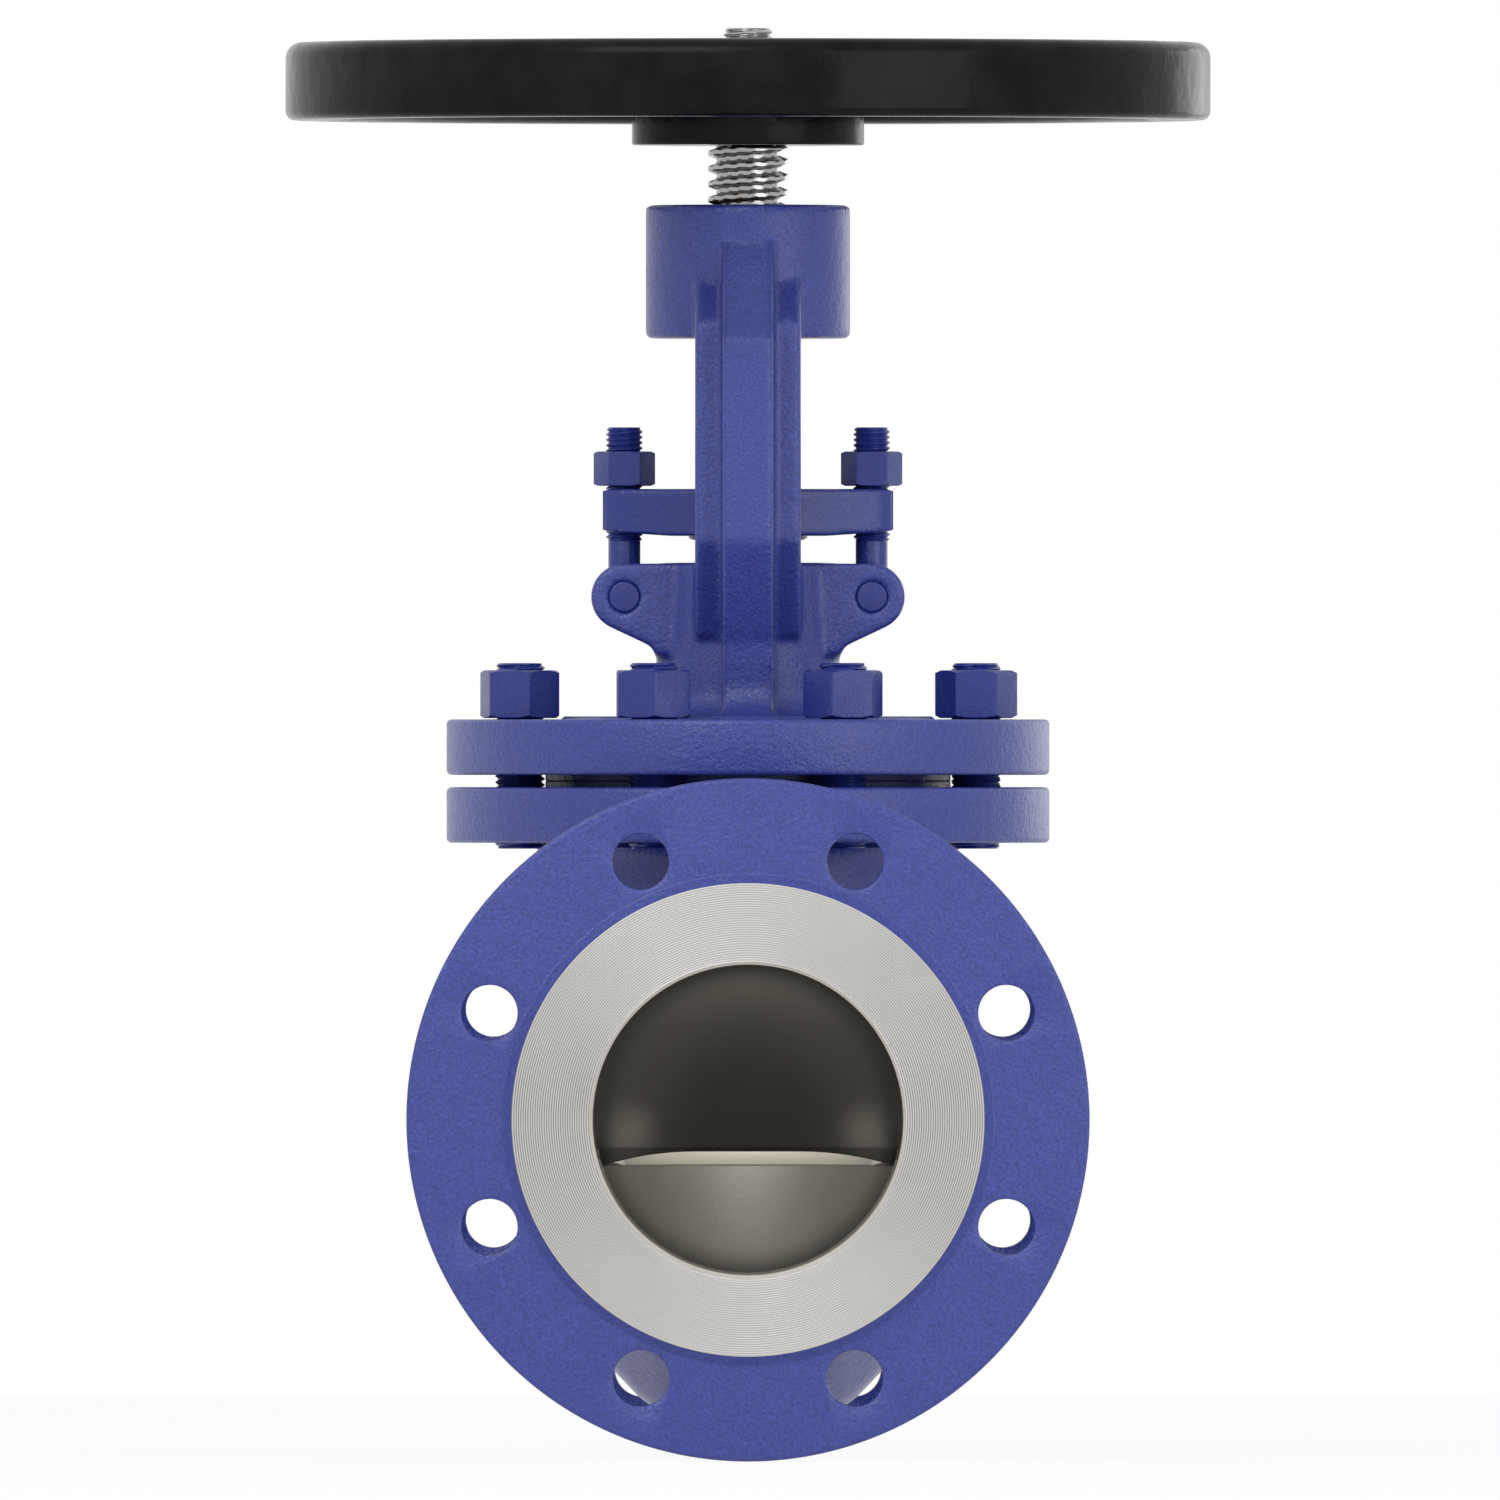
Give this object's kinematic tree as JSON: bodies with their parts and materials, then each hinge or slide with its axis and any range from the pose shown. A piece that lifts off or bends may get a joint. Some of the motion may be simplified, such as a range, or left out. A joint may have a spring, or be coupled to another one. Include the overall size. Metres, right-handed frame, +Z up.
{
  "type": "flanged shutoff valve",
  "caption": "Flanged globe shutoff valve with a bolted bonnet, an outside screw and yoke, swing gland bolts and a rising handwheel.",
  "frame": {"origin": "centre of the inlet bore at the inlet raised face", "axes": "+Y along the pipe from inlet to outlet, +Z up along the stem, +X to the right as seen from the inlet"},
  "size_m": [0.3, 0.35, 0.4632],
  "materials": {
    "cast_blue": "gloss paint on a cast skin",
    "painted_blue": "gloss paint",
    "stainless": "turned",
    "polished_steel": "polished",
    "dark_steel": "dark steel",
    "zinc_steel": "bright plated",
    "graphite": "pressed graphite",
    "bronze": "turned bronze",
    "black_iron": "gloss black paint"
  },
  "bodies": {
    "valve": {"valve_body": "cast_blue", "inlet_flange": "cast_blue", "outlet_flange": "cast_blue", "body_flange": "cast_blue", "seat_ring": "stainless", "body_gasket": "graphite", "bonnet": "cast_blue", "yoke": "cast_blue", "backseat_bush": "stainless", "bonnet_studs": "dark_steel", "bonnet_nuts": "painted_blue", "packing_washer": "dark_steel", "packing_rings": "graphite", "lug_pins": "painted_blue", "yoke_bush": "bronze", "yoke_bush_pin": "dark_steel"},
    "disc_set": {"disc": "stainless", "thrust_pad": "dark_steel", "disc_nut": "stainless"},
    "stem_set": {"stem": "polished_steel", "handwheel": "black_iron", "handwheel_washer": "zinc_steel", "handwheel_nut": "zinc_steel"},
    "gland_set": {"gland_follower": "dark_steel", "gland_flange": "cast_blue"},
    "left_eyebolt": {"eyebolt_left": "painted_blue"},
    "right_eyebolt": {"eyebolt_right": "painted_blue"},
    "left_gland_nut": {"gland_nut_left": "painted_blue"},
    "right_gland_nut": {"gland_nut_right": "painted_blue"}
  },
  "joints": [
    {"name": "disc_lift", "type": "slide", "parent": "valve", "child": "disc_set", "axis": [0, 0, 1], "range_m": [0, 0.03]},
    {"name": "handwheel_turn", "type": "hinge", "parent": "disc_set", "child": "stem_set", "pos_m": [0, 0.175, 0.3], "axis": [0, 0, 1], "range_deg": [0, 2160]},
    {"name": "gland_lift", "type": "slide", "parent": "valve", "child": "gland_set", "axis": [0, 0, 1], "range_m": [0, 0.007]},
    {"name": "left_eyebolt_swing", "type": "hinge", "parent": "valve", "child": "left_eyebolt", "pos_m": [-0.0401, 0.175, 0.1687], "axis": [0, -1, 0], "range_deg": [0, 90]},
    {"name": "right_eyebolt_swing", "type": "hinge", "parent": "valve", "child": "right_eyebolt", "pos_m": [0.0401, 0.175, 0.1687], "axis": [0, 1, 0], "range_deg": [0, 90]},
    {"name": "left_gland_nut_run", "type": "slide", "parent": "left_eyebolt", "child": "left_gland_nut", "axis": [0, 0, 1], "range_m": [0, 0.007]},
    {"name": "right_gland_nut_run", "type": "slide", "parent": "right_eyebolt", "child": "right_gland_nut", "axis": [0, 0, 1], "range_m": [0, 0.007]}
  ],
  "couplings": [
    {"joint": "disc_lift", "follows": "handwheel_turn", "m_per_rad": 0.00079577},
    {"joint": "left_gland_nut_run", "follows": "gland_lift", "ratio": 1},
    {"joint": "right_gland_nut_run", "follows": "gland_lift", "ratio": 1}
  ]
}
